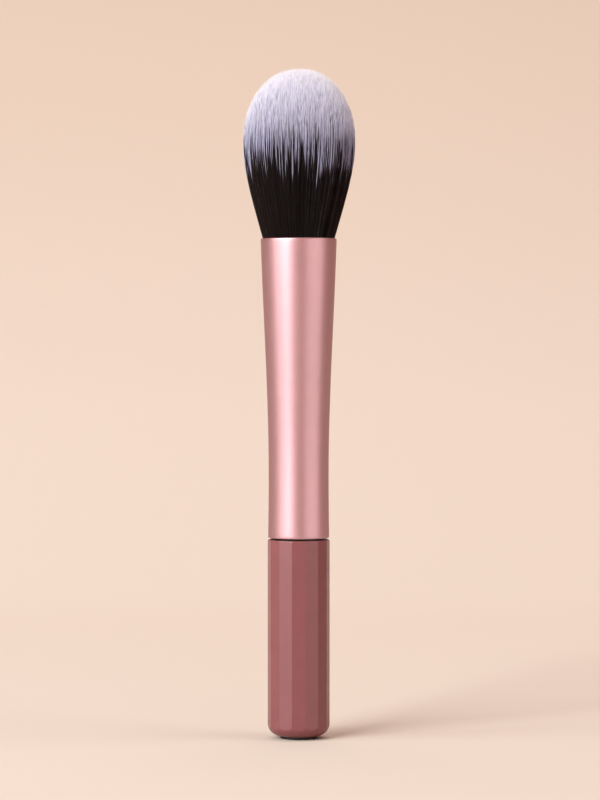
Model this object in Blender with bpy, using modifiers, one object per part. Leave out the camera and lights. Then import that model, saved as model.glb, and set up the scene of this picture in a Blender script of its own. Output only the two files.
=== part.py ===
# Tapered blush brush, standing upright on the pad under its grip.
# Metres, Z up. Every piece shares the Z axis, and the origin is the middle of the pad's
# underside. Heights below are above the grip's own foot, which the pad lifts a little.
# A moulded core joins the faceted grip to the drawn aluminium ferrule. The fibres are
# tied and potted in a cup, which wedges into the flared mouth of the ferrule.

import math

import bmesh
import bpy
from mathutils import Matrix, Vector

# Space left between pieces that touch on the real brush
CLEARANCE = 0.0003

# Grip: a moulded sleeve with flat sides and a closed foot
GRIP_LENGTH = 0.0492
GRIP_FACETS = 14
GRIP_CORNER_RADIUS = 0.00775
GRIP_FOOT_ROUND = 0.0032
GRIP_TOP_ROUND = 0.0006
GRIP_CORNER_TRIM = 0.00005
GRIP_BORE_RADIUS = 0.0060
GRIP_FLOOR = 0.0030

# Foot pad: a rubber disc in a shallow seat, which stands out under the grip
PAD_RADIUS = 0.0046
PAD_THICKNESS = 0.0013
PAD_PROUD = 0.0006
PAD_EDGE = 0.00015

# Ferrule: a drawn tube, narrowest at its waist and widest at its mouth
FERRULE_LENGTH = 0.0747
FERRULE_WALL = 0.0005
FERRULE_FOOT_RADIUS = 0.00765
FERRULE_WAIST_RADIUS = 0.0075
FERRULE_WAIST_HEIGHT = 0.0160
FERRULE_MOUTH_RADIUS = 0.0095
FERRULE_MOUTH_SLOPE = 0.03
SHADOW_GAP = 0.0004

# Core: a tenon in the ferrule and a ribbed spigot in the grip
TENON_LENGTH = 0.0260
TENON_CHAMFER = 0.0010
GLUE_GROOVE_START = 0.0070
GLUE_GROOVE_LENGTH = 0.0120
GLUE_GROOVE_DEPTH = 0.0009
SPIGOT_CHAMFER = 0.0005
CORE_BORE_RADIUS = 0.0030
CORE_ROOF = 0.0025
RIB_COUNT = 4
RIB_WIDTH = 0.0012
RIB_HEIGHT = 0.0007
RIB_ROOT = 0.0006
RIB_END_MARGIN = 0.0050

# Weight: a steel slug low in the core, so that the brush stands by itself
SLUG_RADIUS = 0.0037
SLUG_LENGTH = 0.0300
SLUG_CHAMFER = 0.0004

# Cup: carries the potted roots and follows the ferrule's taper
CUP_DEPTH_BELOW_MOUTH = 0.0031
CUP_LENGTH = 0.0090
CUP_WALL = 0.0005
CUP_FLOOR = 0.0008
HEAD_BEAD_SIZE = 0.0030
HEAD_BEAD_EDGE = 0.0004

# Roots: fibres bound by a thread and potted in resin
POTTING_BELOW_CUP_LIP = 0.0005
SLICE_THICKNESS = 0.0022
TIE_THICKNESS = 0.0008
TIE_WIDTH = 0.0016
TIE_ABOVE_FLOOR = 0.0011

# Tuft: heights are above the ferrule's mouth
TUFT_HEIGHT = 0.0425
TUFT_BELLY_HEIGHT = 0.0243
TUFT_BELLY_RADIUS = 0.0140
TUFT_MOUTH_SLOPE = 0.33
TUFT_DOME_POWER = 2.12
STRAND_RINGS = 10
STRAND_SPOKES = 6
STRAND_SHARE = 0.86
SPOKE_INSET = 0.000015
STRAND_TAPER = 0.0060
INNER_STRAND_BENDS = 2
OUTER_STRAND_BENDS = 3

# Fineness of the curved surfaces
OUTER_STEPS = 56
INNER_STEPS = 36
SLUG_STEPS = 28
FERRULE_ROWS = 13
CUP_ROWS = 3
ROUND_POINTS = 4
FOOT_ROUND_POINTS = 6
PAD_EDGE_POINTS = 2
SHARP_ANGLE = math.radians(30)
MERGE_DISTANCE = 0.00001

# Places worked out from the sizes above
FACET_TURN = math.pi / GRIP_FACETS
GRIP_BLANK_RADIUS = GRIP_CORNER_RADIUS + GRIP_CORNER_TRIM
PAD_TOP = PAD_THICKNESS - PAD_PROUD
FERRULE_FOOT = GRIP_LENGTH + SHADOW_GAP
MOUTH = FERRULE_FOOT + FERRULE_LENGTH
CORE_SEAT = GRIP_LENGTH + CLEARANCE
SPIGOT_RADIUS = GRIP_BORE_RADIUS - CLEARANCE
SPIGOT_LENGTH = GRIP_LENGTH - GRIP_FLOOR
TENON_RADIUS = FERRULE_WAIST_RADIUS - FERRULE_WALL - CLEARANCE
RIB_REACH = SPIGOT_RADIUS + RIB_HEIGHT
CUP_LIP = -CUP_DEPTH_BELOW_MOUTH
CUP_BOTTOM = CUP_LIP - CUP_LENGTH
SLICE_TOP = CUP_LIP - POTTING_BELOW_CUP_LIP
SLICE_BOTTOM = SLICE_TOP - SLICE_THICKNESS
POTTING_BOTTOM = CUP_BOTTOM + CUP_FLOOR + CLEARANCE
TIE_BOTTOM = POTTING_BOTTOM + TIE_ABOVE_FLOOR
TUFT_MOUTH_RADIUS = FERRULE_MOUTH_RADIUS - FERRULE_WALL - CLEARANCE


def remove_all_objects():
    for obj in list(bpy.data.objects):
        bpy.data.objects.remove(obj, do_unlink=True)


def linear_colour(code):
    channels = [int(code[i : i + 2], 16) / 255 for i in (1, 3, 5)]
    return [c / 12.92 if c <= 0.04045 else ((c + 0.055) / 1.055) ** 2.4 for c in channels] + [1.0]


def make_material(name, colour, roughness, metallic=0.0):
    material = bpy.data.materials.new(name)
    material.use_nodes = True
    shader = material.node_tree.nodes["Principled BSDF"]
    shader.inputs["Base Color"].default_value = linear_colour(colour)
    shader.inputs["Roughness"].default_value = roughness
    shader.inputs["Metallic"].default_value = metallic
    material.diffuse_color = linear_colour(colour)
    return material


def fibre_material():
    # Black roots that fade to pale tips with height
    material = make_material("fibre", "#160d0b", 0.55)
    nodes, links = material.node_tree.nodes, material.node_tree.links
    place = nodes.new("ShaderNodeTexCoord")
    split = nodes.new("ShaderNodeSeparateXYZ")
    share = nodes.new("ShaderNodeMapRange")
    share.inputs["From Max"].default_value = TUFT_HEIGHT
    ramp = nodes.new("ShaderNodeValToRGB")
    shades = ((0.42, "#160d0b"), (0.52, "#554a51"), (0.66, "#a7a1b2"), (0.95, "#e9e4ee"))
    while len(ramp.color_ramp.elements) < len(shades):
        ramp.color_ramp.elements.new(1.0)
    for element, (position, colour) in zip(ramp.color_ramp.elements, shades):
        element.position = position
        element.color = linear_colour(colour)
    links.new(place.outputs["Object"], split.inputs["Vector"])
    links.new(split.outputs["Z"], share.inputs["Value"])
    links.new(share.outputs["Result"], ramp.inputs["Fac"])
    links.new(ramp.outputs["Color"], nodes["Principled BSDF"].inputs["Base Color"])
    return material


def new_object(name, mesh, parent, height=0.0):
    obj = bpy.data.objects.new(name, mesh)
    pieces.objects.link(obj)
    obj.parent = parent
    obj.location.z = height
    return obj


def mesh_object(name, bm, parent, height=0.0):
    mesh = bpy.data.meshes.new(name)
    bm.to_mesh(mesh)
    bm.free()
    return new_object(name, mesh, parent, height)


def turned(name, profile, steps, parent, height=0.0, ring=False):
    # Spins (radius, height) points about Z. They run down the outer side, and a ring
    # closes on its first point, while any other profile starts and ends on the axis.
    mesh = bpy.data.meshes.new(name)
    edges = [(i, i + 1) for i in range(len(profile) - 1)]
    if ring:
        edges.append((len(profile) - 1, 0))
    mesh.from_pydata([(radius, 0, z) for radius, z in profile], edges, [])
    obj = new_object(name, mesh, parent, height)
    screw = obj.modifiers.new("Turn", "SCREW")
    screw.steps = steps
    screw.render_steps = steps
    screw.use_merge_vertices = True
    screw.merge_threshold = MERGE_DISTANCE
    return obj


def arc(radius, height, size, start, end, count):
    # Points round (radius, height), from one angle to another, in degrees above the
    # outward direction
    turns = [math.radians(start + (end - start) * i / count) for i in range(count + 1)]
    return [(radius + size * math.cos(t), height + size * math.sin(t)) for t in turns]


def spaced(start, end, count):
    return [start + (end - start) * i / count for i in range(count + 1)]


def as_helper(obj):
    pieces.objects.unlink(obj)
    cutters.objects.link(obj)
    obj.hide_render = True
    obj.display_type = "WIRE"
    return obj


def combine(obj, helper, operation):
    boolean = obj.modifiers.new(operation.title(), "BOOLEAN")
    boolean.operation = operation
    boolean.object = as_helper(helper)


def finish(obj, material):
    # Applies the modifiers, then shades round surfaces smooth and keeps sharp edges
    graph = bpy.context.evaluated_depsgraph_get()
    mesh = bpy.data.meshes.new_from_object(obj.evaluated_get(graph))
    mesh.name = obj.name
    obj.modifiers.clear()
    obj.data = mesh
    mesh.materials.clear()
    mesh.materials.append(material)
    mesh.shade_smooth()
    mesh.set_sharp_from_angle(angle=SHARP_ANGLE)


def hermite(share, start, end, start_rise, end_rise):
    # Cubic from start to end, leaving and arriving with the given rises
    square, cube = share**2, share**3
    return (
        (2 * cube - 3 * square + 1) * start
        + (3 * square - 2 * cube) * end
        + (cube - 2 * square + share) * start_rise
        + (cube - square) * end_rise
    )


def ferrule_radius(height):
    # Outer radius at a height above the ferrule's foot: a parabola up to the waist,
    # then a cubic that leaves the waist upright and reaches the mouth at its slope
    if height < FERRULE_WAIST_HEIGHT:
        share = 1 - height / FERRULE_WAIST_HEIGHT
        return FERRULE_WAIST_RADIUS + (FERRULE_FOOT_RADIUS - FERRULE_WAIST_RADIUS) * share**2
    span = FERRULE_LENGTH - FERRULE_WAIST_HEIGHT
    share = (height - FERRULE_WAIST_HEIGHT) / span
    rise = FERRULE_MOUTH_SLOPE * span
    return hermite(share, FERRULE_WAIST_RADIUS, FERRULE_MOUTH_RADIUS, 0, rise)


def cup_radius(z):
    # Outer radius of the cup at a height from the mouth, which is below 0 here
    return ferrule_radius(FERRULE_LENGTH + z) - FERRULE_WALL - CLEARANCE


def potting_radius(z):
    return cup_radius(z) - CUP_WALL - CLEARANCE


def tuft_radius(z):
    # Radius that the outermost fibres follow, at a height above the mouth
    root_radius = potting_radius(SLICE_TOP)
    if z <= 0:
        share = (z - SLICE_TOP) / -SLICE_TOP
        return root_radius + (TUFT_MOUTH_RADIUS - root_radius) * share
    share = min(z / TUFT_BELLY_HEIGHT, 1)
    rise = TUFT_MOUTH_SLOPE * TUFT_BELLY_HEIGHT
    return hermite(share, TUFT_MOUTH_RADIUS, TUFT_BELLY_RADIUS, rise, 0)


def tip_height(share):
    # Height of the dome above a strand at this share of the tuft's radius
    dome = TUFT_HEIGHT - TUFT_BELLY_HEIGHT
    return TUFT_BELLY_HEIGHT + dome * (1 - share**TUFT_DOME_POWER) ** (1 / TUFT_DOME_POWER)


def make_grip(frame):
    # A prism with flat sides, rounded at both ends by the turned blank that it shares
    # its inside with
    bm = bmesh.new()
    middle = Matrix.Translation((0, 0, GRIP_LENGTH / 2)) @ Matrix.Rotation(FACET_TURN, 4, "Z")
    bmesh.ops.create_cone(
        bm,
        cap_ends=True,
        segments=GRIP_FACETS,
        radius1=GRIP_CORNER_RADIUS,
        radius2=GRIP_CORNER_RADIUS,
        depth=GRIP_LENGTH,
        matrix=middle,
    )
    grip = mesh_object("grip_sleeve", bm, frame)
    top = arc(
        GRIP_BLANK_RADIUS - GRIP_TOP_ROUND, GRIP_LENGTH - GRIP_TOP_ROUND, GRIP_TOP_ROUND,
        90, 0, ROUND_POINTS,
    )
    foot = arc(
        GRIP_BLANK_RADIUS - GRIP_FOOT_ROUND, GRIP_FOOT_ROUND, GRIP_FOOT_ROUND,
        0, -90, FOOT_ROUND_POINTS,
    )
    blank = [(0, GRIP_LENGTH), *top, *foot, (0, 0)]
    combine(grip, turned("grip_blank", blank, OUTER_STEPS, frame), "INTERSECT")
    above = GRIP_LENGTH + GRIP_FLOOR
    bore = [(0, above), (GRIP_BORE_RADIUS, above), (GRIP_BORE_RADIUS, GRIP_FLOOR), (0, GRIP_FLOOR)]
    combine(grip, turned("grip_bore", bore, INNER_STEPS, frame), "DIFFERENCE")
    ceiling = PAD_TOP + CLEARANCE
    below = -PAD_THICKNESS
    seat_radius = PAD_RADIUS + CLEARANCE
    seat = [(0, ceiling), (seat_radius, ceiling), (seat_radius, below), (0, below)]
    combine(grip, turned("pad_seat", seat, INNER_STEPS, frame), "DIFFERENCE")
    keyways = make_ribs("grip_keyways", frame, CLEARANCE, above)
    combine(grip, keyways, "DIFFERENCE")
    finish(grip, make_material("mauve_plastic", "#a2686a", 0.45))


def make_ribs(name, frame, clearance, top):
    # Upright blocks round the spigot. With a clearance they cut the keyways instead.
    inner = SPIGOT_RADIUS - RIB_ROOT
    outer = RIB_REACH + clearance
    width = RIB_WIDTH + 2 * clearance
    bottom = GRIP_FLOOR + RIB_END_MARGIN - clearance
    block = Matrix.Translation(((inner + outer) / 2, 0, (top + bottom) / 2))
    block @= Matrix.Diagonal((outer - inner, width, top - bottom, 1))
    bm = bmesh.new()
    for i in range(RIB_COUNT):
        turn = Matrix.Rotation(math.tau * (i + 0.5) / RIB_COUNT, 4, "Z")
        bmesh.ops.create_cube(bm, size=1, matrix=turn @ block)
    return mesh_object(name, bm, frame)


def make_pad(frame):
    # Its rounded lower edge stands below the grip's foot
    edge = arc(PAD_RADIUS - PAD_EDGE, PAD_EDGE - PAD_PROUD, PAD_EDGE, 0, -90, PAD_EDGE_POINTS)
    profile = [(0, PAD_TOP), (PAD_RADIUS, PAD_TOP), *edge, (0, -PAD_PROUD)]
    pad = turned("foot_pad", profile, INNER_STEPS, frame)
    finish(pad, make_material("black_rubber", "#1a1718", 0.7))


def make_core(frame):
    # Tenon above the shoulder at z = 0 and spigot below it, bored from its lower end
    groove = GLUE_GROOVE_START
    groove_end = GLUE_GROOVE_START + GLUE_GROOVE_LENGTH
    groove_radius = TENON_RADIUS - GLUE_GROOVE_DEPTH
    slug_bore = SLUG_RADIUS + CLEARANCE
    bottom = -SPIGOT_LENGTH
    slug_stop = bottom + SLUG_LENGTH + CLEARANCE
    roof = TENON_LENGTH - CORE_ROOF
    profile = [
        (0, TENON_LENGTH),
        (TENON_RADIUS - TENON_CHAMFER, TENON_LENGTH),
        (TENON_RADIUS, TENON_LENGTH - TENON_CHAMFER),
        (TENON_RADIUS, groove_end),
        (groove_radius, groove_end),
        (groove_radius, groove),
        (TENON_RADIUS, groove),
        (TENON_RADIUS, 0),
        (SPIGOT_RADIUS, 0),
        (SPIGOT_RADIUS, bottom + SPIGOT_CHAMFER),
        (SPIGOT_RADIUS - SPIGOT_CHAMFER, bottom),
        (slug_bore, bottom),
        (slug_bore, slug_stop),
        (CORE_BORE_RADIUS, slug_stop),
        (CORE_BORE_RADIUS, roof),
        (0, roof),
    ]
    core = turned("handle_core", profile, INNER_STEPS, frame, CORE_SEAT)
    ribs = make_ribs("core_ribs", frame, 0, GRIP_LENGTH - RIB_END_MARGIN)
    combine(core, ribs, "UNION")
    finish(core, make_material("black_plastic", "#1c1a1b", 0.5))


def make_slug(frame):
    bm = bmesh.new()
    bmesh.ops.create_cone(
        bm,
        cap_ends=True,
        segments=SLUG_STEPS,
        radius1=SLUG_RADIUS,
        radius2=SLUG_RADIUS,
        depth=SLUG_LENGTH,
    )
    slug = mesh_object("weight_slug", bm, frame, GRIP_FLOOR + CLEARANCE + SLUG_LENGTH / 2)
    bevel = slug.modifiers.new("Chamfer", "BEVEL")
    bevel.width = SLUG_CHAMFER
    bevel.segments = 1
    finish(slug, make_material("turned_steel", "#8f9194", 0.35, 1.0))


def make_ferrule(frame):
    # One wall with full round edges at its mouth and foot
    edge = FERRULE_WALL / 2
    heights = spaced(FERRULE_LENGTH - edge, edge, FERRULE_ROWS)
    outer = [(ferrule_radius(z), z) for z in heights]
    inner = [(ferrule_radius(z) - FERRULE_WALL, z) for z in reversed(heights)]
    rim = arc(outer[0][0] - edge, heights[0], edge, 180, 0, ROUND_POINTS)
    foot = arc(outer[-1][0] - edge, heights[-1], edge, 0, -180, ROUND_POINTS)
    profile = [*rim[1:-1], *outer, *foot[1:-1], *inner]
    ferrule = turned("ferrule", profile, OUTER_STEPS, frame, FERRULE_FOOT, ring=True)
    finish(ferrule, make_material("rose_aluminium", "#dca6a6", 0.32, 1.0))


def make_tenon_adhesive(frame):
    # Fills the tenon's groove
    top = GLUE_GROOVE_START + GLUE_GROOVE_LENGTH - CLEARANCE
    bottom = GLUE_GROOVE_START + CLEARANCE
    inner = TENON_RADIUS - GLUE_GROOVE_DEPTH + CLEARANCE
    profile = [(inner, top), (TENON_RADIUS, top), (TENON_RADIUS, bottom), (inner, bottom)]
    band = turned("tenon_adhesive", profile, INNER_STEPS, frame, CORE_SEAT, ring=True)
    finish(band, make_material("clear_adhesive", "#cfc7ae", 0.4))


def make_cup(frame):
    # Out along the floor, up the inside, over the lip and down the outside
    floor = CUP_BOTTOM + CUP_FLOOR
    inner = [(cup_radius(z) - CUP_WALL, z) for z in spaced(floor, CUP_LIP, CUP_ROWS)]
    outer = [(cup_radius(z), z) for z in spaced(CUP_LIP, CUP_BOTTOM, CUP_ROWS)]
    profile = [(0, floor), *inner, *outer, (0, CUP_BOTTOM)]
    cup = turned("tuft_cup", profile, INNER_STEPS, frame, MOUTH)
    finish(cup, make_material("white_plastic", "#d8d6d2", 0.5))


def make_head_adhesive(frame):
    # A bead in the corner under the cup, hollow where it wets the cup and the wall
    top = CUP_BOTTOM - CLEARANCE
    bottom = top - HEAD_BEAD_SIZE
    inner = cup_radius(top) - HEAD_BEAD_SIZE
    hollow = arc(inner, bottom, HEAD_BEAD_SIZE - HEAD_BEAD_EDGE, 0, 90, ROUND_POINTS)
    profile = [(inner, top), (cup_radius(top), top), (cup_radius(bottom), bottom), *hollow]
    bead = turned("head_adhesive", profile, INNER_STEPS, frame, MOUTH, ring=True)
    finish(bead, make_material("amber_adhesive", "#b9a063", 0.35))


def make_potting(frame):
    # Resin under the tuft's slice, with a groove where the tie binds the roots
    top = SLICE_BOTTOM - CLEARANCE
    groove_top = TIE_BOTTOM + TIE_WIDTH + CLEARANCE
    groove_bottom = TIE_BOTTOM - CLEARANCE
    depth = TIE_THICKNESS + CLEARANCE
    profile = [
        (0, top),
        (potting_radius(top), top),
        (potting_radius(groove_top), groove_top),
        (potting_radius(groove_top) - depth, groove_top),
        (potting_radius(groove_bottom) - depth, groove_bottom),
        (potting_radius(groove_bottom), groove_bottom),
        (potting_radius(POTTING_BOTTOM), POTTING_BOTTOM),
        (0, POTTING_BOTTOM),
    ]
    potting = turned("root_potting", profile, INNER_STEPS, frame, MOUTH)
    finish(potting, make_material("dark_resin", "#2a2322", 0.3))


def make_tie(frame):
    # Turns of thread lying side by side, round-edged as one band
    edge = TIE_THICKNESS / 2
    middle = TIE_BOTTOM + TIE_WIDTH / 2
    radius = potting_radius(middle) - edge
    top = arc(radius, TIE_BOTTOM + TIE_WIDTH - edge, edge, 180, 0, ROUND_POINTS)
    bottom = arc(radius, TIE_BOTTOM + edge, edge, 0, -180, ROUND_POINTS)
    tie = turned("root_tie", [*top, *bottom], INNER_STEPS, frame, MOUTH, ring=True)
    finish(tie, make_material("waxed_thread", "#c9bfa8", 0.8))


def lattice_disc(bm):
    # Fills the slice's top with rings of triangles, each ring holding one more point
    # per sector than the last, and returns its seeds: the triangles whose wide side
    # faces out. They meet only along the spokes between sectors, where one of each
    # pair is set in, so that no two share an edge.
    radius = potting_radius(SLICE_TOP)
    rings = [[bm.verts.new((0, 0, SLICE_TOP))]]
    for ring in range(1, STRAND_RINGS + 1):
        reach = radius * ring / STRAND_RINGS
        count = STRAND_SPOKES * ring
        turns = [math.tau * i / count for i in range(count)]
        rings.append(
            [bm.verts.new((reach * math.cos(t), reach * math.sin(t), SLICE_TOP)) for t in turns]
        )
    seeds = []
    beside_spokes = []
    for ring in range(1, STRAND_RINGS + 1):
        inner, outer = rings[ring - 1], rings[ring]
        for sector in range(STRAND_SPOKES):
            for step in range(ring):
                near = inner[(sector * (ring - 1) + step) % len(inner)]
                first = outer[sector * ring + step]
                second = outer[(sector * ring + step + 1) % len(outer)]
                seeds.append(bm.faces.new((near, first, second)))
                if step == 0:
                    beside_spokes.append(seeds[-1])
                if step < ring - 1:
                    far = inner[(sector * (ring - 1) + step + 1) % len(inner)]
                    bm.faces.new((near, second, far))
    bmesh.ops.inset_individual(bm, faces=beside_spokes, thickness=SPOKE_INSET)
    outermost = STRAND_SPOKES * STRAND_RINGS
    return seeds[:-outermost], seeds[-outermost:]


def grow_strands(bm, seeds, bends):
    # Draws each seed up through the mouth, out with the tuft's side and to a point on
    # the dome. A strand keeps its share of the tuft's radius, so none cross.
    caps = seeds
    for level in range(bends + 1):
        caps = bmesh.ops.extrude_discrete_faces(bm, faces=caps)["faces"]
        for cap in caps:
            centre = cap.calc_center_median()
            spot = centre.xy / tuft_radius(centre.z)
            height = (tip_height(spot.length) - STRAND_TAPER) * level / bends
            spread = tuft_radius(height) / tuft_radius(centre.z)
            if level == 0:
                spread *= STRAND_SHARE
            target = Vector((*(spot * tuft_radius(height)), height))
            for vert in cap.verts:
                vert.co = target + (vert.co - centre) * spread
    for tip in bmesh.ops.poke(bm, faces=caps)["verts"]:
        spot = tip.co.xy / tuft_radius(tip.co.z)
        height = tip_height(spot.length)
        tip.co = (*(spot * tuft_radius(height)), height)


def make_tuft(frame):
    # Strands of three sides that stand on a slice of the potting
    bm = bmesh.new()
    inner_seeds, outer_seeds = lattice_disc(bm)
    rim = [edge for edge in bm.edges if edge.is_boundary]
    wall = bmesh.ops.extrude_edge_only(bm, edges=rim)["geom"]
    lower = [item for item in wall if isinstance(item, bmesh.types.BMVert)]
    foot = [item for item in wall if isinstance(item, bmesh.types.BMEdge)]
    shrink = potting_radius(SLICE_BOTTOM) / potting_radius(SLICE_TOP)
    for vert in lower:
        vert.co = (vert.co.x * shrink, vert.co.y * shrink, SLICE_BOTTOM)
    bmesh.ops.edgeloop_fill(bm, edges=[edge for edge in foot if edge.is_boundary])
    grow_strands(bm, inner_seeds, INNER_STRAND_BENDS)
    grow_strands(bm, outer_seeds, OUTER_STRAND_BENDS)
    bmesh.ops.recalc_face_normals(bm, faces=bm.faces)
    tuft = mesh_object("bristle_tuft", bm, frame, MOUTH)
    tuft.data.materials.append(fibre_material())


remove_all_objects()
pieces = bpy.data.collections.new("tapered_blush_brush")
cutters = bpy.data.collections.new("cutters")
bpy.context.scene.collection.children.link(pieces)
bpy.context.scene.collection.children.link(cutters)
brush = new_object("brush_axis", None, None, PAD_PROUD)

make_grip(brush)
make_pad(brush)
make_core(brush)
make_slug(brush)
make_ferrule(brush)
make_tenon_adhesive(brush)
make_cup(brush)
make_head_adhesive(brush)
make_potting(brush)
make_tie(brush)
make_tuft(brush)
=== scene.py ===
# Looks of a tapered blush brush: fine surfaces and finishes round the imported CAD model.
# Metres, Z up. The brush stands on the origin and the camera looks along +Y.

import math

import bmesh
import bpy
import numpy as np
from mathutils import Euler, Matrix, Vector


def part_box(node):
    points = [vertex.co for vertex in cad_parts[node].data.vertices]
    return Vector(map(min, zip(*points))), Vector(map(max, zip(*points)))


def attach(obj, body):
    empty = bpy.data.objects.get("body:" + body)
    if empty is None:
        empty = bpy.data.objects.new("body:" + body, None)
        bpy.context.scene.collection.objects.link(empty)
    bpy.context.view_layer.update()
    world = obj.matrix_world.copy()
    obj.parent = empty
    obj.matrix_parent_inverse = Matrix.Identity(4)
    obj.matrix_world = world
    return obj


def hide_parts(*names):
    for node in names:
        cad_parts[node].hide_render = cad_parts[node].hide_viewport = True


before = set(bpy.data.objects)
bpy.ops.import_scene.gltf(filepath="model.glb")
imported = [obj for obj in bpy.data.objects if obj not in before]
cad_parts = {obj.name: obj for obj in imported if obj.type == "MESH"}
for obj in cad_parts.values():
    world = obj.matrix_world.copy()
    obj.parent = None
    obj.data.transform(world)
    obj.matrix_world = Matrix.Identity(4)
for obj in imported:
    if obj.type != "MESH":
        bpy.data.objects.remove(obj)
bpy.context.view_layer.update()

mm = 0.001
fullTurn = 2 * math.pi
# a UV map of this name is kept when the model is exported
bakeMap = "OFBake"  # the name of the UV map that the fibre and thread finishes read
samePlace = 1e-8  # metres, and points that are closer count as one
noiseReach = (0.3, 0.7)  # most of a noise texture's values lie between these
cloudReach = (0.35, 0.65)  # a cloud turns from one colour to the other between these


def linearColour(code):
    # sRGB hex to the linear RGBA that Blender's sockets hold
    channels = np.array([int(code[i : i + 2], 16) for i in (1, 3, 5)]) / 255
    curve = ((channels + 0.055) / 1.055) ** 2.4
    return (*np.where(channels <= 0.04045, channels / 12.92, curve), 1.0)


def addNode(tree, kind, inputs, stops=(), **settings):
    # Each input is a value for a socket, or the output socket that feeds it. A ramp also
    # takes its stops, as pairs of a position and a hex colour.
    node = tree.nodes.new("ShaderNode" + kind)
    for name, value in settings.items():
        setattr(node, name, value)
    if stops:
        elements = node.color_ramp.elements
        while len(elements) < len(stops):
            elements.new(1.0)
        for element, (position, colour) in zip(elements, stops):
            element.position = position
            element.color = linearColour(colour)
    for name, value in inputs.items():
        if isinstance(value, bpy.types.NodeSocket):
            tree.links.new(value, node.inputs[name])
        else:
            node.inputs[name].default_value = value
    return node


def startMaterial(name, colour, **sockets):
    # A Principled BSDF whose even values are set on its own sockets
    material = bpy.data.materials.new(name)
    material.use_nodes = True
    shader = material.node_tree.nodes["Principled BSDF"]
    shader.inputs["Base Color"].default_value = linearColour(colour)
    material.diffuse_color = linearColour(colour)
    for socket, value in sockets.items():
        shader.inputs[socket.replace("_", " ")].default_value = value
    return material, material.node_tree, shader


def feed(tree, output, shader, socket):
    tree.links.new(output, shader.inputs[socket])


def addGrain(tree, shader, size, depth, detail, stretch):
    # Fine bumps of one size all over the surface, in metres
    place = addNode(tree, "TexCoord", {}).outputs["Object"]
    place = addNode(tree, "Mapping", {"Vector": place, "Scale": stretch}).outputs["Vector"]
    noise = addNode(tree, "TexNoise", {"Vector": place, "Scale": 1 / size, "Detail": detail})
    bump = addNode(tree, "Bump", {"Height": noise.outputs["Fac"], "Distance": depth})
    feed(tree, bump.outputs["Normal"], shader, "Normal")
    return place


def addClouds(tree, place, shader, size, colours):
    # Soft patches of one size between two colours
    noise = addNode(tree, "TexNoise", {"Vector": place, "Scale": 1 / size, "Detail": 2.0})
    stops = list(zip(cloudReach, colours))
    ramp = addNode(tree, "ValToRGB", {"Fac": noise.outputs["Fac"]}, stops)
    feed(tree, ramp.outputs["Color"], shader, "Base Color")


def addSmears(tree, place, shader, size, roughness):
    # Soft patches of one size between two values of roughness
    noise = addNode(tree, "TexNoise", {"Vector": place, "Scale": 1 / size, "Detail": 1.0})
    ends = dict(zip(("From Min", "From Max", "To Min", "To Max"), (*noiseReach, *roughness)))
    value = addNode(tree, "MapRange", {"Value": noise.outputs["Fac"], **ends})
    feed(tree, value.outputs["Result"], shader, "Roughness")


def commonFinish(name, look, **sockets):
    # What most finishes here share: even gloss, fine grain, smears, and clouds where the
    # colour goes a little deeper or is worn a little paler
    material, tree, shader = startMaterial(name, look["colour"], **sockets)
    detail, stretch = look.get("grainDetail", 2.0), look.get("grainStretch", (1, 1, 1))
    place = addGrain(tree, shader, look["grain"], look["grainDepth"], detail, stretch)
    if "clouds" in look:
        colours = [look.get(key, look["colour"]) for key in ("colourDeep", "colourWorn")]
        addClouds(tree, place, shader, look["clouds"], colours)
    addSmears(tree, place, shader, look["smears"], look["roughness"])
    return material


def buildMesh(name, points, faceCorners, faceSizes):
    # faceCorners lists every face's corners in turn, and faceSizes how many each has
    mesh = bpy.data.meshes.new(name)
    mesh.vertices.add(len(points))
    mesh.vertices.foreach_set("co", np.asarray(points, np.float32).ravel())
    mesh.loops.add(len(faceCorners))
    mesh.loops.foreach_set("vertex_index", np.asarray(faceCorners, np.int32))
    mesh.polygons.add(len(faceSizes))
    starts = np.cumsum(faceSizes) - faceSizes
    mesh.polygons.foreach_set("loop_start", starts.astype(np.int32))
    mesh.update(calc_edges=True)
    mesh.shade_smooth()
    return mesh


def addPiece(name, mesh, material, replaced):
    piece = bpy.data.objects.new(name, mesh)
    bpy.context.scene.collection.objects.link(piece)
    mesh.materials.append(material)
    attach(piece, "root")
    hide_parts(replaced)


def gridQuads(rows, columns, ring):
    # Quads between neighbouring rows, wrapped round the columns and, on a ring, the rows
    last = rows if ring else rows - 1
    row, column = np.meshgrid(np.arange(last), np.arange(columns), indexing="ij")
    beside = (column + 1) % columns
    row, below = row * columns, (row + 1) % rows * columns
    quads = [row + column, below + column, below + beside, row + beside]
    return np.stack(quads, axis=-1).reshape(-1, 4)


def revolve(name, radius, height, ring=False):
    # Surface with points (radius cos a, radius sin a, height) at angles a round the axis.
    # radius and height have a row for each profile point, which run down the outer side,
    # and a column for each angle. A profile that isn't a ring starts and ends on the axis.
    rows, columns = radius.shape
    angle = fullTurn * np.arange(columns) / columns
    points = np.stack([radius * np.cos(angle), radius * np.sin(angle), height], axis=-1)
    quads = gridQuads(rows, columns, ring)
    mesh = buildMesh(name, points.reshape(-1, 3), quads.ravel(), np.full(len(quads), 4))
    if not ring:
        weld(mesh)
    return mesh


def weld(mesh):
    # Joins the points that lie together at the poles
    bm = bmesh.new()
    bm.from_mesh(mesh)
    bmesh.ops.remove_doubles(bm, verts=bm.verts, dist=samePlace)
    bm.to_mesh(mesh)
    bm.free()


def turned(name, profile, columns, ring=False):
    # Carries a list of (radius, height) once round the axis
    profile = np.array(profile)
    radius, height = (np.repeat(profile[:, [i]], columns, axis=1) for i in (0, 1))
    return revolve(name, radius, height, ring)


def arcPoints(radius, height, across, up, start, end, count):
    # Quarter or half of an ellipse round (radius, height), between two angles in degrees
    turn = np.radians(np.linspace(start, end, count))
    return list(zip(radius + across * np.cos(turn), height + up * np.sin(turn)))


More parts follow.
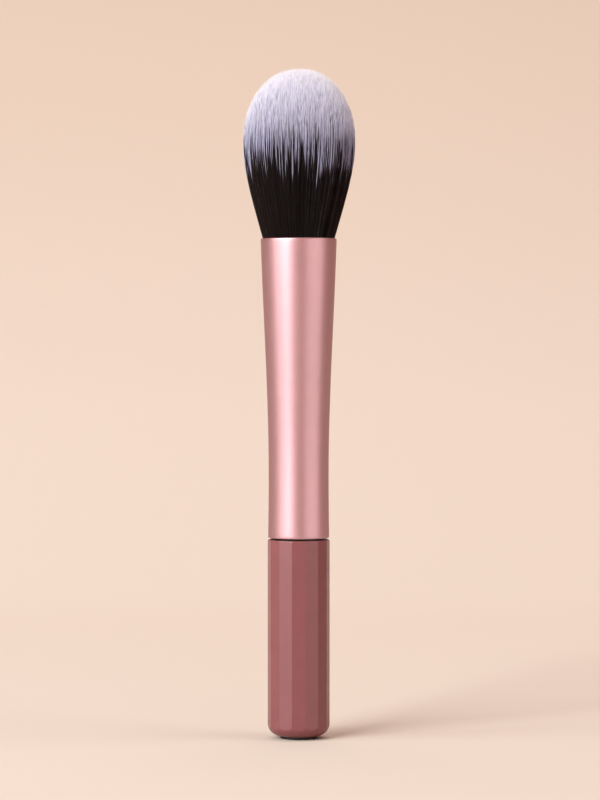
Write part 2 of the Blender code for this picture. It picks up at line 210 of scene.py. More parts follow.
def hermite(share, start, end, startRise, endRise):
    # Cubic between two values with a given rise at each end
    square, cube = share**2, share**3
    bend = (cube - 2 * square + share) * startRise + (cube - square) * endRise
    return (2 * cube - 3 * square + 1) * start + (3 * square - 2 * cube) * end + bend


def boxRadius(node):
    # How far a round node reaches from the axis
    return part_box(node)[1].x


# Ferrule

ferruleLook = {
    "columns": 288,
    "rows": 120,
    "wall": 0.5 * mm,
    "footRadius": 7.65 * mm,
    "waistRadius": 7.5 * mm,
    "waistHeight": 16.0 * mm,  # over the ferrule's foot
    "mouthSlope": 0.03,
    "rimRound": 0.36 * mm,
    "footRound": 0.3 * mm,
    "roundSteps": 17,
    "colour": "#b48790",
    "colourDeep": "#b1858e",
    "edgeTint": "#a83838",  # of what the metal mirrors at a low angle
    "clouds": 4 * mm,
    "roughness": (0.37, 0.41),
    "smears": 1.5 * mm,
    "sealRoughness": 0.41,
    "sealIor": 2.05,
    "grain": 0.16 * mm,
    "grainDepth": 0.004 * mm,
}
ferruleFoot, ferruleMouth = (corner.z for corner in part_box("ferrule"))
mouthRadius = boxRadius("ferrule")


def ferruleRadius(height):
    # Above the foot: a parabola up to the waist, then a cubic that leaves the waist
    # upright and reaches the mouth at its slope
    look = ferruleLook
    low = 1 - height / look["waistHeight"]
    flare = (look["footRadius"] - look["waistRadius"]) * np.clip(low, 0, 1) ** 2
    span = ferruleMouth - ferruleFoot - look["waistHeight"]
    share = np.clip((height - look["waistHeight"]) / span, 0, 1)
    return flare + hermite(share, look["waistRadius"], mouthRadius, 0, look["mouthSlope"] * span)


def roseAluminium():
    # Drawn 6063 aluminium, bead-blasted, dyed rose and sealed: a satin metal whose
    # highlights are wide and soft, and pale against a deeper pink. The real grit is about
    # 0.05 mm, and its grain is drawn three times as coarse, to show at all.
    look = ferruleLook
    return commonFinish(
        "satin_rose_anodised_aluminium", look, Metallic=1.0,
        Specular_Tint=linearColour(look["edgeTint"]), Coat_Weight=1.0,
        Coat_Roughness=look["sealRoughness"], Coat_IOR=look["sealIor"],
    )


def makeFerrule():
    # The wall's closed outline, carried round the axis: down the outer side, back up the
    # inner side, and half an ellipse over each end
    look = ferruleLook
    length = ferruleMouth - ferruleFoot
    rim, foot, half = look["rimRound"], look["footRound"], look["wall"] / 2
    heights = np.linspace(length - rim, foot, look["rows"])
    outer = list(zip(ferruleRadius(heights), heights))
    inner = [(radius - look["wall"], height) for radius, height in reversed(outer)]
    steps = look["roundSteps"]
    mouth = arcPoints(outer[0][0] - half, length - rim, half, rim, 180, 0, steps)
    edge = arcPoints(outer[-1][0] - half, foot, half, foot, 0, -180, steps)
    profile = np.array([*mouth[1:-1], *outer, *edge[1:-1], *inner])
    profile[:, 1] += ferruleFoot
    mesh = turned("ferrule_tube", profile, look["columns"], ring=True)
    addPiece("ferrule_tube", mesh, roseAluminium(), "ferrule")


# Grip

gripLook = {
    "facets": 14,
    "columnsPerFacet": 26,
    "wallRows": 40,
    "foldRound": 0.05 * mm,
    "topRound": 0.6 * mm,
    "topSteps": 25,
    "footRound": 3.2 * mm,
    "footSteps": 61,
    "flatReach": 0.3 * mm,  # how far inside its flats the grip stays faceted
    "blankOver": 0.05 * mm,  # how far the blank stands out over the corners
    "boreRadius": 6.0 * mm,
    "floor": 3.0 * mm,
    "keyways": 4,
    "keywayHalfWidth": 0.9 * mm,
    "keywayReach": 6.7 * mm,
    "keywayBottom": 7.7 * mm,
    "seatClearance": 0.3 * mm,
    "colour": "#784548",
    "colourDeep": "#744345",
    "clouds": 5 * mm,
    "ior": 1.62,
    "roughness": (0.33, 0.39),
    "smears": 2 * mm,
    "grain": 0.25 * mm,
    "grainDepth": 0.006 * mm,
}
gripFoot, gripTop = (corner.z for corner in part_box("grip_sleeve"))


def mauvePlastic():
    # ABS, injection moulded in a lightly spark-eroded tool: matte mauve with a soft sheen.
    # Real spark grain is 0.05 to 0.1 mm, and it is drawn coarser, to show at all.
    return commonFinish("moulded_mauve_abs", gripLook, IOR=gripLook["ior"])


def gripCornerRadius():
    # The corners don't all lie on an axis, so the radius comes from the solid's own points
    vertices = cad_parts["grip_sleeve"].data.vertices
    points = np.zeros(3 * len(vertices), np.float32)
    vertices.foreach_get("co", points)
    return float(np.hypot(points[0::3], points[1::3]).max())


def gripOutside(angle):
    # Each row from the top to the foot is the smaller of a prism with flat sides, apothem /
    # cos(angle from the facet's middle), and a turned blank with round ends, joined by a
    # soft minimum (a + b - sqrt((a - b)^2 + fold^2)) / 2. Well inside the flats, the blank
    # alone is left. Gives the rows' radii and heights.
    look = gripLook
    half = math.pi / look["facets"]
    front = -math.pi / 2  # a facet faces the camera, and the rest follow from it
    fromMiddle = (angle - front + half) % (2 * half) - half
    corner = gripCornerRadius()
    flat = corner * math.cos(half)
    prism = flat / np.cos(fromMiddle)
    blank = corner + look["blankOver"]
    topRound, footRound = look["topRound"], look["footRound"]
    footMiddle = gripFoot + footRound
    steps, topMiddle = look["topSteps"], gripTop - topRound
    top = arcPoints(blank - topRound, topMiddle, topRound, topRound, 90, 0, steps)
    steps = look["footSteps"]
    foot = arcPoints(blank - footRound, footMiddle, footRound, footRound, 0, -90, steps)
    wall = [(blank, z) for z in np.linspace(topMiddle, footMiddle, look["wallRows"])]
    outside = np.array([*top, *wall[1:-1], *foot])
    turnedRadius = outside[:, [0]]
    difference = prism - turnedRadius
    both = (prism + turnedRadius - np.sqrt(difference**2 + look["foldRound"] ** 2)) / 2
    onlyBlank = turnedRadius < flat - look["flatReach"]
    return np.where(onlyBlank, turnedRadius, both), outside[:, 1]


def gripBore(angle):
    # Rows from the middle of the bore's floor up to the top. A keyway for each rib of the
    # core is cut from part of the way up.
    look = gripLook
    bore = np.full(len(angle), look["boreRadius"])
    turn = fullTurn / look["keyways"]
    fromKeyway = angle % turn - turn / 2
    inKeyway = np.abs(bore * np.sin(fromKeyway)) < look["keywayHalfWidth"]
    cut = np.where(inKeyway, look["keywayReach"], bore)
    floor, step = gripFoot + look["floor"], gripFoot + look["keywayBottom"]
    return np.array([0 * bore, bore, bore, cut, cut]), [floor, floor, step, step, gripTop]


def gripSeat(angle):
    # Rows from the foot's edge up and in to the middle of the seat for the pad
    clearance = gripLook["seatClearance"]
    seat = np.full(len(angle), boxRadius("foot_pad") + clearance)
    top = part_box("foot_pad")[1].z + clearance
    return [seat, seat, 0 * seat], [gripFoot, top, top]


def makeGrip():
    # One closed shell: up the bore, down the outside and in at the seat
    look = gripLook
    columns = look["facets"] * look["columnsPerFacet"]
    angle = fullTurn * np.arange(columns) / columns
    radii, heights = zip(gripBore(angle), gripOutside(angle), gripSeat(angle))
    radius = np.concatenate(radii)
    height = np.repeat(np.concatenate(heights)[:, None], columns, axis=1)
    mesh = revolve("grip_faceted", radius, height)
    addPiece("grip_faceted", mesh, mauvePlastic(), "grip_sleeve")


# Tuft

tuftLook = {
    "strands": 25000,
    "locks": 8,
    "diameter": 0.16 * mm,  # real fibres have 0.07 to 0.1 mm, too fine to show
    "tipTaper": 5.0 * mm,
    "tipThickness": 0.12,  # of the diameter
    "rootRadius": 7.75 * mm,
    "rootDepth": 3.6 * mm,
    "mouthInset": 0.55 * mm,
    "mouthSlope": 0.26,
    "bellyHeight": 24.3 * mm,
    "bellyRadius": 13.95 * mm,
    "domePower": 2.12,
    "shortest": 1.3 * mm,  # how far under the dome a strand may end
    "shortPower": 3,  # a higher power leaves fewer of them so short
    "scatter": 0.004,  # of the tuft's radius, as are the sizes of clumps
    "lean": 0.12 * mm,
    "bow": 0.06 * mm,
    "clumpLean": 0.22 * mm,
    "clumpSize": 0.055,
    "restingLean": 0.2 * mm,
    "normalBend": 0.2,
    "normalRise": 1.0,
    "levels": (0.0, 0.16, 0.31, 0.45, 0.58, 0.70, 0.81, 0.90, 0.962),  # a strand's rings
    "dyeClumpSize": 0.0105,
    "dyeClumpShift": 2.1 * mm,
    "dyeClumpContrast": 1.5,
    "dyeClumpRise": 7.0 * mm,
    "dyeRiseFrom": 0.5,
    "dyeShift": 3.7 * mm,
    "dyeContrast": 2.2,
    "dyeStrayDown": 4.0 * mm,
    "downPower": 6,
    "dyeStrayUp": 8.0 * mm,
    "upPower": 3,
    "straysAtSides": 0.4,
    # painted rim light: how much further down the tuft's left and right sides are painted pale
    "paintedRimDip": 2.2 * mm,
    "dyeMap": (12 * mm, 60 * mm),  # tip heights at the two ends of the strands' map
    "mapMargin": 0.01,
    "mapHalfWidth": 0.0006,
    "rampHeights": (10.7 * mm, 44.7 * mm),  # over the mouth, for a strand of mean dye
    "ramp": [
        (0.245, "#060201"), (0.27, "#292025"), (0.295, "#646070"), (0.33, "#a1a1b8"),
        (0.56, "#b2b4ce"), (0.75, "#bdc0da"), (0.95, "#d8dbed"),
    ],
    "pale": "#f4f3f5",
    "paleEnds": 1.8 * mm,
    "meanColour": "#8a8391",
    "roughness": 0.6,
    "ior": 1.5,
    "specular": 0.05,
    "sheen": (0.1, 0.35),  # weight and roughness
    "seed": 11,
}
tuftBottom, tuftTop = (corner.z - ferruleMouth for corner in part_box("bristle_tuft"))
tuftSpan = tuftTop - tuftBottom


def tuftRadius(height):
    # Radius of the outermost strands at a height above the mouth: straight in the mouth,
    # a cubic out to the belly and upright above it
    look = tuftLook
    mouth = mouthRadius - look["mouthInset"]
    inside = np.clip(1 + height / look["rootDepth"], 0, 1)
    below = look["rootRadius"] + (mouth - look["rootRadius"]) * inside
    share = np.clip(height / look["bellyHeight"], 0, 1)
    rise = look["mouthSlope"] * look["bellyHeight"]
    return np.where(height < 0, below, hermite(share, mouth, look["bellyRadius"], rise, 0))


def domeHeight(share):
    # Superellipse over the belly: height = belly + rise (1 - share^n)^(1/n)
    look = tuftLook
    rise = tuftTop - look["bellyHeight"]
    power = look["domePower"]
    return look["bellyHeight"] + rise * (1 - np.clip(share, 0, 1) ** power) ** (1 / power)


def smoothPatches(random, x, y, size):
    # Pairs of random values that change smoothly over the unit disc, read between the
    # points of a square grid with the given spacing
    half = 1.1  # half the grid's width, a little more than the disc's radius
    steps = int(2 * half / size) + 2
    values = random.standard_normal((steps, steps, 2))
    column, row = (x + half) / size, (y + half) / size
    i, j = column.astype(int), row.astype(int)
    a, b = (column - i)[:, None], (row - j)[:, None]
    a, b = a * a * (3 - 2 * a), b * b * (3 - 2 * b)
    near = values[i, j] * (1 - a) + values[i + 1, j] * a
    far = values[i, j + 1] * (1 - a) + values[i + 1, j + 1] * a
    return near * (1 - b) + far * b


def taperedFibre():
    # Tapered PBT filament, extruded and dip dyed: black at the root and pale towards the
    # tip, with the dye's edge at another height on each strand. It reads the strand's own
    # map. v is how far up the strand a point lies, and u is how high the strand's tip
    # lies over the dye's edge, so that height over the dye = a u + b v + c.
    look = tuftLook
    sheen, sheenRoughness = look["sheen"]
    material, tree, shader = startMaterial(
        "dyed_pbt_fibre", look["meanColour"], Roughness=look["roughness"], IOR=look["ior"],
        Specular_IOR_Level=look["specular"], Sheen_Weight=sheen,
        Sheen_Roughness=sheenRoughness,
    )
    place = addNode(tree, "UVMap", {}, uv_map=bakeMap).outputs["UV"]
    low, high = look["dyeMap"]
    first, last = (height - low + tuftSpan for height in look["rampHeights"])
    reach = (high - low, tuftSpan, 0)
    height = addNode(tree, "VectorMath", {0: place, 1: reach}, operation="DOT_PRODUCT")
    ends = {"From Min": first, "From Max": last}
    share = addNode(tree, "MapRange", {"Value": height.outputs["Value"], **ends})
    shaft = addNode(tree, "ValToRGB", {"Fac": share.outputs["Result"]}, look["ramp"])
    along = addNode(tree, "SeparateXYZ", {"Vector": place}).outputs["Y"]
    ends = {"From Min": 1 - look["paleEnds"] / tuftSpan, "From Max": 1.0}
    end = addNode(tree, "MapRange", {"Value": along, **ends}).outputs["Result"]
    colours = {"Factor": end, "A": shaft.outputs["Color"], "B": linearColour(look["pale"])}
    colour = addNode(tree, "Mix", colours, data_type="RGBA")
    feed(tree, colour.outputs["Result"], shader, "Base Color")
    return material


def plantStrands(random):
    # Strands stand on a sunflower pattern: share of the radius sqrt((i + 0.5) / n), turned
    # by the golden angle each time, and a little scattered. Gives x, y and their distance
    # from the axis as shares of the radius.
    look = tuftLook
    count = look["strands"]
    index = np.arange(count)
    goldenAngle = math.pi * (3 - math.sqrt(5))
    share = np.sqrt((index + 0.5) / count)
    x = share * np.cos(index * goldenAngle) + look["scatter"] * random.standard_normal(count)
    y = share * np.sin(index * goldenAngle) + look["scatter"] * random.standard_normal(count)
    share = np.hypot(x, y)
    inside = np.minimum(1, 1 / share)
    return x * inside, y * inside, share * inside


def bendStrands(random, x, y, height):
    # A strand keeps its share of the radius all the way up, leans alone and with its
    # neighbours as height squared, bows as a half wave, and stays inside the outline. The
    # whole tuft rests a little to one side.
    look = tuftLook
    lean = look["lean"] * random.standard_normal((len(x), 2))
    lean += look["clumpLean"] * smoothPatches(random, x, y, look["clumpSize"])
    bow = look["bow"] * random.standard_normal((len(x), 2))
    free = np.clip(height / tuftTop, 0, 1)[..., None]
    drift = lean[:, None] * free**2 + bow[:, None] * np.sin(math.pi * free)
    reach = tuftRadius(height)
    centre = np.stack([x, y], axis=-1)[:, None] * reach[..., None] + drift
    distance = np.linalg.norm(centre, axis=-1)
    centre *= np.minimum(1, reach / np.maximum(distance, samePlace))[..., None]
    centre[..., 0] += look["restingLean"] * free[..., 0]
    return centre


def lowerDye(random, x, y, share):
    # How far the dye's edge lies below the tuft's mean edge, for each strand. Small groups
    # shift together, some of them rise a lot and look darker, and each strand shifts by
    # itself. tanh brings most shifts near one of two values, which gives clear streaks.
    look = tuftLook
    groups, darker = smoothPatches(random, x, y, look["dyeClumpSize"]).T
    shift = look["dyeClumpShift"] * np.tanh(look["dyeClumpContrast"] * groups)
    shift -= look["dyeClumpRise"] * np.maximum(0, darker - look["dyeRiseFrom"])
    alone = random.standard_normal(len(x))
    shift += look["dyeShift"] * np.tanh(look["dyeContrast"] * alone)
    # A few strands take the dye much lower or higher, less so at the tuft's left and right
    # sides, where the pale colour is painted further down as painted rim light through the
    # fibres
    stray = look["dyeStrayDown"] * random.random(len(x)) ** look["downPower"]
    stray -= look["dyeStrayUp"] * random.random(len(x)) ** look["upPower"]
    side = (x / share) ** 2
    return shift + stray * (1 - (1 - look["straysAtSides"]) * side) + look["paintedRimDip"] * side


def growTuft():
    # Every strand's points, normals, place across and along its map, and compass angle.
    # Its rings are triangles that thin towards the tip, just under the dome.
    look = tuftLook
    random = np.random.default_rng(look["seed"])
    count = look["strands"]
    x, y, share = plantStrands(random)
    tip = domeHeight(share) - look["shortest"] * random.random(count) ** look["shortPower"]
    height = tuftBottom + (tip[:, None] - tuftBottom) * np.array([*look["levels"], 1.0])
    centre = bendStrands(random, x, y, height)
    below = tip[:, None] - height
    thin = look["tipThickness"]
    thick = look["diameter"] / 2 * (thin + (1 - thin) * np.clip(below / look["tipTaper"], 0, 1))
    turn = fullTurn * (random.random((count, 1, 1)) + np.arange(3) / 3)
    sides = np.stack([np.cos(turn), np.sin(turn)], axis=-1)
    levels = len(look["levels"])
    rings = centre[:, :levels, None] + thick[:, :levels, None, None] * sides
    heights = np.broadcast_to(height[:, :levels, None, None], (count, levels, 3, 1))
    rings = np.concatenate([rings, heights], axis=-1).reshape(count, -1, 3)
    tips = np.concatenate([centre[:, -1], height[:, -1:]], axis=-1)[:, None]
    points = np.concatenate([rings, tips], axis=1)
    points[..., 2] += ferruleMouth

    low, high = look["dyeMap"]
    margin = look["mapMargin"]
    across = (tip + lowerDye(random, x, y, share) - low) / (high - low)
    across = np.clip(across, margin, 1 - margin)
    along = 1 - below / tuftSpan
    normals = bentNormals(x, y, share, height, sides)
    return points, normals, across, along, np.arctan2(y, x)


def bentNormals(x, y, share, height, sides):
    # A strand's own normals, bent upwards and towards those of the whole tuft, which are the
    # slope of (radius / belly)^n + ((height - belly) / rise)^n. So the tuft shades as one
    # soft form, as if its pale fibres passed light on.
    look = tuftLook
    power = look["domePower"] - 1
    rise = tuftTop - look["bellyHeight"]
    up = np.clip((height - look["bellyHeight"]) / rise, 0, 1) ** power / rise
    out = np.broadcast_to((share**power / look["bellyRadius"])[:, None], up.shape)
    whole = np.stack([out * (x / share)[:, None], out * (y / share)[:, None], up], axis=-1)
    whole *= look["normalBend"] / np.linalg.norm(whole, axis=-1, keepdims=True)
    whole[..., 2] += look["normalRise"]
    levels = len(look["levels"])
    own = np.concatenate([sides, 0 * sides[..., :1]], axis=-1)
    rings = (own + whole[:, :levels, None]).reshape(len(x), -1, 3)
    normals = np.concatenate([rings, whole[:, -1:]], axis=1)
    return normals / np.linalg.norm(normals, axis=-1, keepdims=True)


def makeLock(name, points, normals, across, along, material):
    # One mesh of three-sided strands. Each has quads between its rings, a pointed end and
    # a closed root.
    look = tuftLook
    count, perStrand = points.shape[:2]
    levels = len(look["levels"])
    ring, side = np.meshgrid(np.arange(levels - 1), np.arange(3), indexing="ij")
    ring, beside = 3 * ring, (side + 1) % 3
    quads = np.stack([ring + side, ring + beside, ring + 3 + beside, ring + 3 + side], axis=-1)
    last, tip = 3 * (levels - 1), 3 * levels
    ends = [[last, last + 1, tip], [last + 1, last + 2, tip], [last + 2, last, tip], [2, 1, 0]]
    corners = np.concatenate([quads.ravel(), np.ravel(ends)])
    sizes = np.concatenate([np.full(quads.size // 4, 4), np.full(len(ends), 3)])
    allCorners = corners + perStrand * np.arange(count)[:, None]
    mesh = buildMesh(name, points.reshape(-1, 3), allCorners.ravel(), np.tile(sizes, count))
    mesh.normals_split_custom_set_from_vertices(normals.reshape(-1, 3).astype(np.float32))

    width = look["mapHalfWidth"]
    sideways = np.append(np.tile([-width, 0, width], levels), 0.0)
    upward = np.repeat(along, 3, axis=1)[:, : tip + 1]
    uv = np.stack([across[:, None] + sideways, upward], axis=-1)[:, corners]
    uv[:, -1, 1] += width  # gives the root's cap a width on the map
    layer = mesh.uv_layers.new(name=bakeMap)
    layer.data.foreach_set("uv", uv.astype(np.float32).ravel())
    addPiece(name, mesh, material, "bristle_tuft")


def makeTuft():
    look = tuftLook
    *strands, angle = growTuft()
    material = taperedFibre()
    lock = np.floor((angle / fullTurn + 0.5) * look["locks"]) % look["locks"]
    for number in range(look["locks"]):
        chosen = lock == number
        name = f"bristle_lock_{number + 1}"
        makeLock(name, *(values[chosen] for values in strands), material)


# Roots

sliceLook = {
    "columns": 96,
    "edge": 0.3 * mm,
    "edgeSteps": 9,
    "colour": "#2a2322",
}
resinLook = {
    "ior": 1.55,
    "roughness": (0.18, 0.34),
    "smears": 1 * mm,
    "grain": 1.2 * mm,
    "grainDepth": 0.02 * mm,
    "grainDetail": 1.0,
}
threadLook = {
    "turns": 4,  # that lie side by side, in each of the two layers
    "steps": 72,
    "sides": 14,
    "thickness": 0.98,  # of the pitch
    "bluntEnd": 0.8,
    "crossing": 0.125,  # share of a layer over which the thread steps out
    "length": 380 * mm,
    "plies": 3,
    "plyTurn": 1.2 * mm,
    "plyWaver": 0.6,
    "plyDepth": 0.03 * mm,
    "plyEdges": (0.2, 0.7),
    "colour": "#cabfa6",
    # painted shade in the grooves between the plies
    "colourDeep": "#a99c80",
    "roughness": 0.7,
}


def castEpoxy(name, colour):
    # Cast epoxy: glossy where it wetted the fibres, duller in soft patches, and slightly
    # uneven where it shrank
    return commonFinish(name, {**resinLook, "colour": colour}, IOR=resinLook["ior"])


def makeRootSlice():
    # The plug of resin that the strands grow from, with softened edges
    look = sliceLook
    edge, steps = look["edge"], look["edgeSteps"]
    radius = tuftLook["rootRadius"]
    top = ferruleMouth - tuftLook["rootDepth"]
    bottom = ferruleMouth + tuftBottom
    upper = arcPoints(radius - edge, top - edge, edge, edge, 90, 0, steps)
    lower = arcPoints(radius - edge, bottom + edge, edge, edge, 0, -90, steps)
    mesh = turned("tuft_root_slice", [(0, top), *upper, *lower, (0, bottom)], look["columns"])
    resin = castEpoxy("cast_epoxy", look["colour"])
    addPiece("tuft_root_slice", mesh, resin, "bristle_tuft")


def waxedThread():
    # Twisted polyester thread, waxed: dull cream plies that lie across its length, with painted
    # shade in the grooves between them, where the bump is lowest
    look = threadLook
    name = "waxed_polyester_thread"
    material, tree, shader = startMaterial(name, look["colour"], Roughness=look["roughness"])
    place = addNode(tree, "UVMap", {}, uv_map=bakeMap).outputs["UV"]
    twist = (look["length"] / look["plyTurn"], look["plies"], 1)
    place = addNode(tree, "Mapping", {"Vector": place, "Scale": twist}).outputs["Vector"]
    onePerStep = fullTurn / 10  # the wave texture's scale for one band per unit of its map
    wave = {"Vector": place, "Scale": onePerStep, "Distortion": look["plyWaver"]}
    wave = addNode(tree, "TexWave", wave, bands_direction="DIAGONAL")
    stops = list(zip(look["plyEdges"], (look["colourDeep"], look["colour"])))
    ramp = addNode(tree, "ValToRGB", {"Fac": wave.outputs["Fac"]}, stops)
    feed(tree, ramp.outputs["Color"], shader, "Base Color")
    bump = addNode(tree, "Bump", {"Height": wave.outputs["Fac"], "Distance": look["plyDepth"]})
    feed(tree, bump.outputs["Normal"], shader, "Normal")
    return material


def makeTie():
    # A round thread along a helix that climbs one layer and comes down over it: height
    # follows a triangle wave of the turns, and the radius steps out by a thread at the top
    look = threadLook
    sides = look["sides"]
    low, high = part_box("root_tie")
    outer = high.x
    pitch = (high.z - low.z) / look["turns"]
    steps = 2 * look["steps"] * (look["turns"] - 1) + 1
    progress = np.linspace(0, 2, steps)  # up to 1 it climbs, and up to 2 it comes down
    turn = fullTurn * (look["turns"] - 1) * progress
    climb = 1 - np.abs(1 - progress)
    step = np.clip((progress - 1) / look["crossing"] + 0.5, 0, 1)
    radius = outer - pitch * (1.5 - step * step * (3 - 2 * step))
    height = low.z + pitch / 2 + (high.z - low.z - pitch) * climb
    around = fullTurn * np.arange(sides) / sides
    size = np.full(steps, look["thickness"] / 2 * pitch)
    size[[0, -1]] = 0
    size[[1, -2]] *= look["bluntEnd"]
    reach = radius[:, None] + size[:, None] * np.cos(around)
    rise = height[:, None] + size[:, None] * np.sin(around)
    east, north = np.cos(turn)[:, None], np.sin(turn)[:, None]
    points = np.stack([reach * east, reach * north, rise], axis=-1)
    quads = gridQuads(steps, sides, False)
    mesh = buildMesh("root_thread", points.reshape(-1, 3), quads.ravel(), np.full(len(quads), 4))
    row, column = quads // sides, quads % sides
    column = np.where((column == 0) & (column[:, [0]] > 1), sides, column)
    uv = np.stack([row / (steps - 1), column / sides], axis=-1)
    mesh.uv_layers.new(name=bakeMap).data.foreach_set("uv", uv.astype(np.float32).ravel())
    weld(mesh)
    addPiece("root_thread", mesh, waxedThread(), "root_tie")


# Inner pieces that keep their CAD shape

innerLooks = {
    # Nylon 6 with glass, injection moulded: near black, slightly mottled and low in gloss
    "handle_core": {
        "name": "moulded_black_nylon",
        "sockets": {"IOR": 1.53},
        "colour": "#1d1b1c",
        "colourWorn": "#262425",
        "clouds": 1.5 * mm,
        "roughness": (0.42, 0.58),
        "smears": 1 * mm,
        "grain": 0.3 * mm,
        "grainDepth": 0.01 * mm,
    },
    # Polypropylene in its natural colour, moulded: waxy, a little cloudy
    "tuft_cup": {
        "name": "moulded_natural_polypropylene",
        "sockets": {"IOR": 1.49},
        "colour": "#d8d5cf",
        "colourDeep": "#cdc9c1",
        "clouds": 2 * mm,
        "roughness": (0.34, 0.48),
        "smears": 1 * mm,
        "grain": 0.4 * mm,
        "grainDepth": 0.008 * mm,
    },
    # Free-cutting steel bar, turned: fine rings round its axis. The tool's feed is 0.1 mm
    # a turn, drawn at 0.2 mm.
    "weight_slug": {
        "name": "turned_steel",
        "sockets": {"Metallic": 1.0},
        "colour": "#a9abae",
        "roughness": (0.26, 0.40),
        "smears": 0.4 * mm,
        "grain": 0.2 * mm,
        "grainDepth": 0.006 * mm,
        "grainStretch": (0.02, 0.02, 1),
    },
    # Styrene block rubber, moulded: matte, near black, with a faint bloom. Its near black also
    # stands for painted contact shadow under the foot.
    "foot_pad": {
        "name": "black_rubber_and_contact_shade",
        "sockets": {"IOR": 1.5},
        "colour": "#1b1818",
        "colourWorn": "#231f1e",
        "clouds": 1 * mm,
        "roughness": (0.68, 0.82),
        "smears": 1 * mm,
        "grain": 0.2 * mm,
        "grainDepth": 0.01 * mm,
    },
}
castColours = {
    "root_potting": ("cast_dark_epoxy", "#2a2322"),
    "head_adhesive": ("amber_epoxy", "#b89d5c"),
    "tenon_adhesive": ("clear_epoxy", "#cfc7ae"),
}


def dressInnerPieces():
    finishes = {node: castEpoxy(*values) for node, values in castColours.items()}
    for node, look in innerLooks.items():
        finishes[node] = commonFinish(look["name"], look, **look["sockets"])
    for node, material in finishes.items():
        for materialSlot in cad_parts[node].material_slots:
            materialSlot.material = material


# Studio

studioLook = {
    "front": -1.6,
    "depth": 0.3,
    "floorSteps": 9,
    "bend": 1.2,
    "bendSteps": 33,
    "wall": 2.6,
    "wallSteps": 5,
    "halfWidth": 2.4,
    "paperReach": (-0.1, 1.1),  # from front to back
    # painted shading: palest where the paper starts to rise, darker to the front and up the wall
    "shadedPaper": [
        (0.0, "#cdc6b9"), (0.15, "#cfc9bc"), (0.4, "#d7d2c4"), (0.66, "#d6cfc1"),
        (0.85, "#d2c9b9"), (1.0, "#cfc4b3"),
    ],
    "roughness": 0.9,
    "specular": 0.1,
    "bounce": "#c97c66",  # what the paper throws on other things
    "fill": 0.095,
    "fillColour": "#fa7c78",
    "backColour": "#ce8c79",
}
cameraLook = {
    "distance": 0.8,
    "eyeHeight": 0.10415,
    "pitchDown": 1.4,
    "aside": 0.33 * mm,
    "focalPixels": 3204,
    "imageHeight": 800,
}
lampLook = {
    "keySoftbox": {
        "azimuth": -39, "elevation": 26, "distance": 1.8, "size": (0.88, 1.3), "power": 39,
        "colour": "#ffffff",
    },
    "leftPanel": {
        "azimuth": -69, "elevation": 26, "distance": 1.8, "size": (1.0, 1.5), "power": 16.8,
        "colour": "#ffffff",
    },
    "rightPanel": {
        "azimuth": 51.3, "elevation": 3.3, "distance": 1.7, "size": (1.86, 0.3), "power": 5,
        "colour": "#ffffff",
    },
    "highPanel": {
        "azimuth": 76, "elevation": 48, "distance": 1.8, "size": (1.0, 1.0), "power": 8,
        "colour": "#fff0ec",
    },
    "topPanel": {
        "azimuth": 60, "elevation": 84, "distance": 1.5, "size": (1.3, 1.3), "power": 8,
        "colour": "#fff0ec",
    },
    "backPanel": {
        "azimuth": 180, "elevation": 58, "distance": 1.7, "size": (1.5, 1.2), "power": 6,
        "colour": "#fff0ec",
    },
}


def seenRays(tree):
    # 1 for the rays that show a thing itself or in gloss or glass, 0 for its light on others
    path = addNode(tree, "LightPath", {})
    seen = path.outputs["Is Camera Ray"]
    for kind in ("Is Glossy Ray", "Is Transmission Ray"):
        rays = {0: seen, 1: path.outputs[kind]}
        seen = addNode(tree, "Math", rays, operation="MAXIMUM").outputs[0]
    return seen


def backdropPaper():
    # Matte seamless paper, with painted shading: its warm greys are painted palest where it
    # starts to rise and darker towards the front and up the wall. The warm fill and its bounce
    # turn them peach. What it throws on the brush and on itself is the deeper bounce colour, as
    # in a dim room.
    look = studioLook
    material, tree, shader = startMaterial(
        "seamless_peach_paper", look["shadedPaper"][0][1], Roughness=look["roughness"],
        Specular_IOR_Level=look["specular"],
    )
    place = addNode(tree, "TexCoord", {}).outputs["Object"]
    split = addNode(tree, "SeparateXYZ", {"Vector": place})
    near, far = look["paperReach"]
    away = {"Value": split.outputs["Y"], "From Min": near, "From Max": far}
    away = addNode(tree, "MapRange", away).outputs["Result"]
    ramp = addNode(tree, "ValToRGB", {"Fac": away}, look["shadedPaper"])
    bounce = linearColour(look["bounce"])
    colours = {"Factor": seenRays(tree), "A": bounce, "B": ramp.outputs["Color"]}
    shadedPaper = addNode(tree, "Mix", colours, data_type="RGBA")
    feed(tree, shadedPaper.outputs["Result"], shader, "Base Color")
    return material


def makeBackdrop():
    # A flat floor carried through a quarter circle into an upright wall
    look = studioLook
    size = look["bend"]
    floor = [(y, 0) for y in np.linspace(look["front"], look["depth"], look["floorSteps"])]
    bend = arcPoints(look["depth"], size, size, size, -90, 0, look["bendSteps"])
    upright = np.linspace(size, look["wall"], look["wallSteps"])
    wall = [(look["depth"] + size, z) for z in upright]
    profile = np.array([*floor, *bend[1:], *wall[1:]])
    across = np.array([-look["halfWidth"], look["halfWidth"]])
    points = np.array([(x, y, z) for y, z in profile for x in across])
    row = 2 * np.arange(len(profile) - 1)[:, None]
    quads = row + np.array([0, 1, 3, 2])
    mesh = buildMesh("backdrop", points, quads.ravel(), np.full(len(quads), 4))
    mesh.materials.append(backdropPaper())
    backdrop = bpy.data.objects.new("backdrop", mesh)
    bpy.context.scene.collection.objects.link(backdrop)


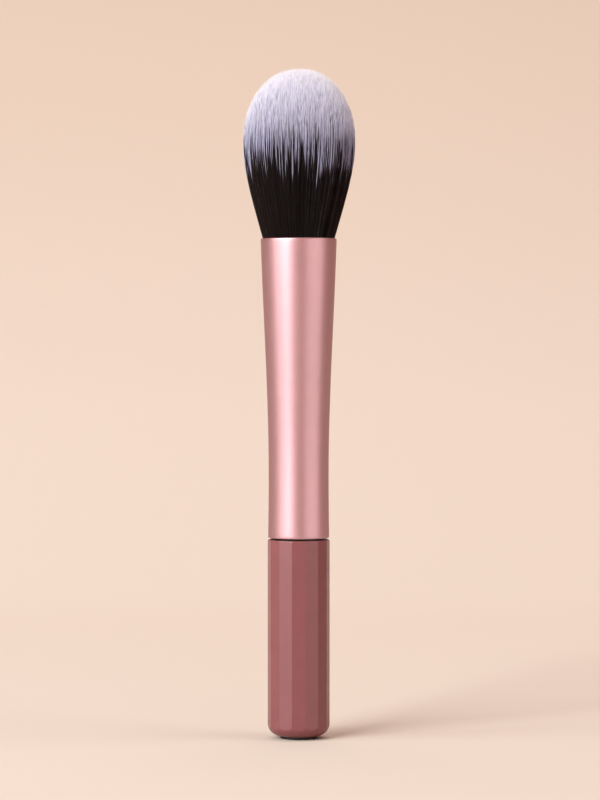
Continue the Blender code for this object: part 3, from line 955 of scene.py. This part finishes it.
def placeLamp(name, look):
    # An area lamp aimed at the foot of the ferrule. Azimuth 0 is the camera's side, and it
    # grows towards the right of the picture.
    azimuth, elevation = math.radians(look["azimuth"]), math.radians(look["elevation"])
    aim = Vector((0, 0, ferruleFoot))
    level = math.cos(elevation)
    away = Vector((math.sin(azimuth) * level, -math.cos(azimuth) * level, math.sin(elevation)))
    light = bpy.data.lights.new(name, "AREA")
    light.shape = "RECTANGLE"
    light.size, light.size_y = look["size"]
    light.energy = look["power"]
    light.color = linearColour(look["colour"])[:3]
    lamp = bpy.data.objects.new(name, light)
    bpy.context.scene.collection.objects.link(lamp)
    lamp.location = aim + away * look["distance"]
    lamp.rotation_euler = away.to_track_quat("Z", "Y").to_euler()


def makeWorld():
    # Soft warm fill from all round. The camera, gloss and glass see a clay-coloured room
    # instead.
    look = studioLook
    world = bpy.data.worlds.new("studio")
    bpy.context.scene.world = world
    world.use_nodes = True
    tree = world.node_tree
    background = tree.nodes["Background"]
    background.inputs["Color"].default_value = linearColour(look["fillColour"])
    background.inputs["Strength"].default_value = look["fill"]
    room = addNode(tree, "Background", {"Color": linearColour(look["backColour"])})
    shaders = {0: seenRays(tree), 1: background.outputs[0], 2: room.outputs[0]}
    mix = addNode(tree, "MixShader", shaders)
    tree.links.new(mix.outputs[0], tree.nodes["World Output"].inputs["Surface"])


def placeCamera():
    # A long lens, whose focal length is counted in pixels of the 800 pixel high picture
    look = cameraLook
    data = bpy.data.cameras.new("camera")
    data.sensor_fit = "VERTICAL"
    data.angle = 2 * math.atan(look["imageHeight"] / 2 / look["focalPixels"])
    camera = bpy.data.objects.new("camera", data)
    bpy.context.scene.collection.objects.link(camera)
    camera.location = (look["aside"], -look["distance"], look["eyeHeight"])
    camera.rotation_euler = Euler((math.radians(90 - look["pitchDown"]), 0, 0))
    bpy.context.scene.camera = camera


placeCamera()
makeWorld()
makeBackdrop()
for lampName, lamp in lampLook.items():
    placeLamp(lampName, lamp)
print("studio ready")
makeFerrule()
print("ferrule ready")
makeGrip()
print("grip ready")
makeRootSlice()
makeTie()
dressInnerPieces()
print("inner pieces ready")
makeTuft()
print("tuft ready")

bpy.context.scene.view_settings.view_transform = "Standard"
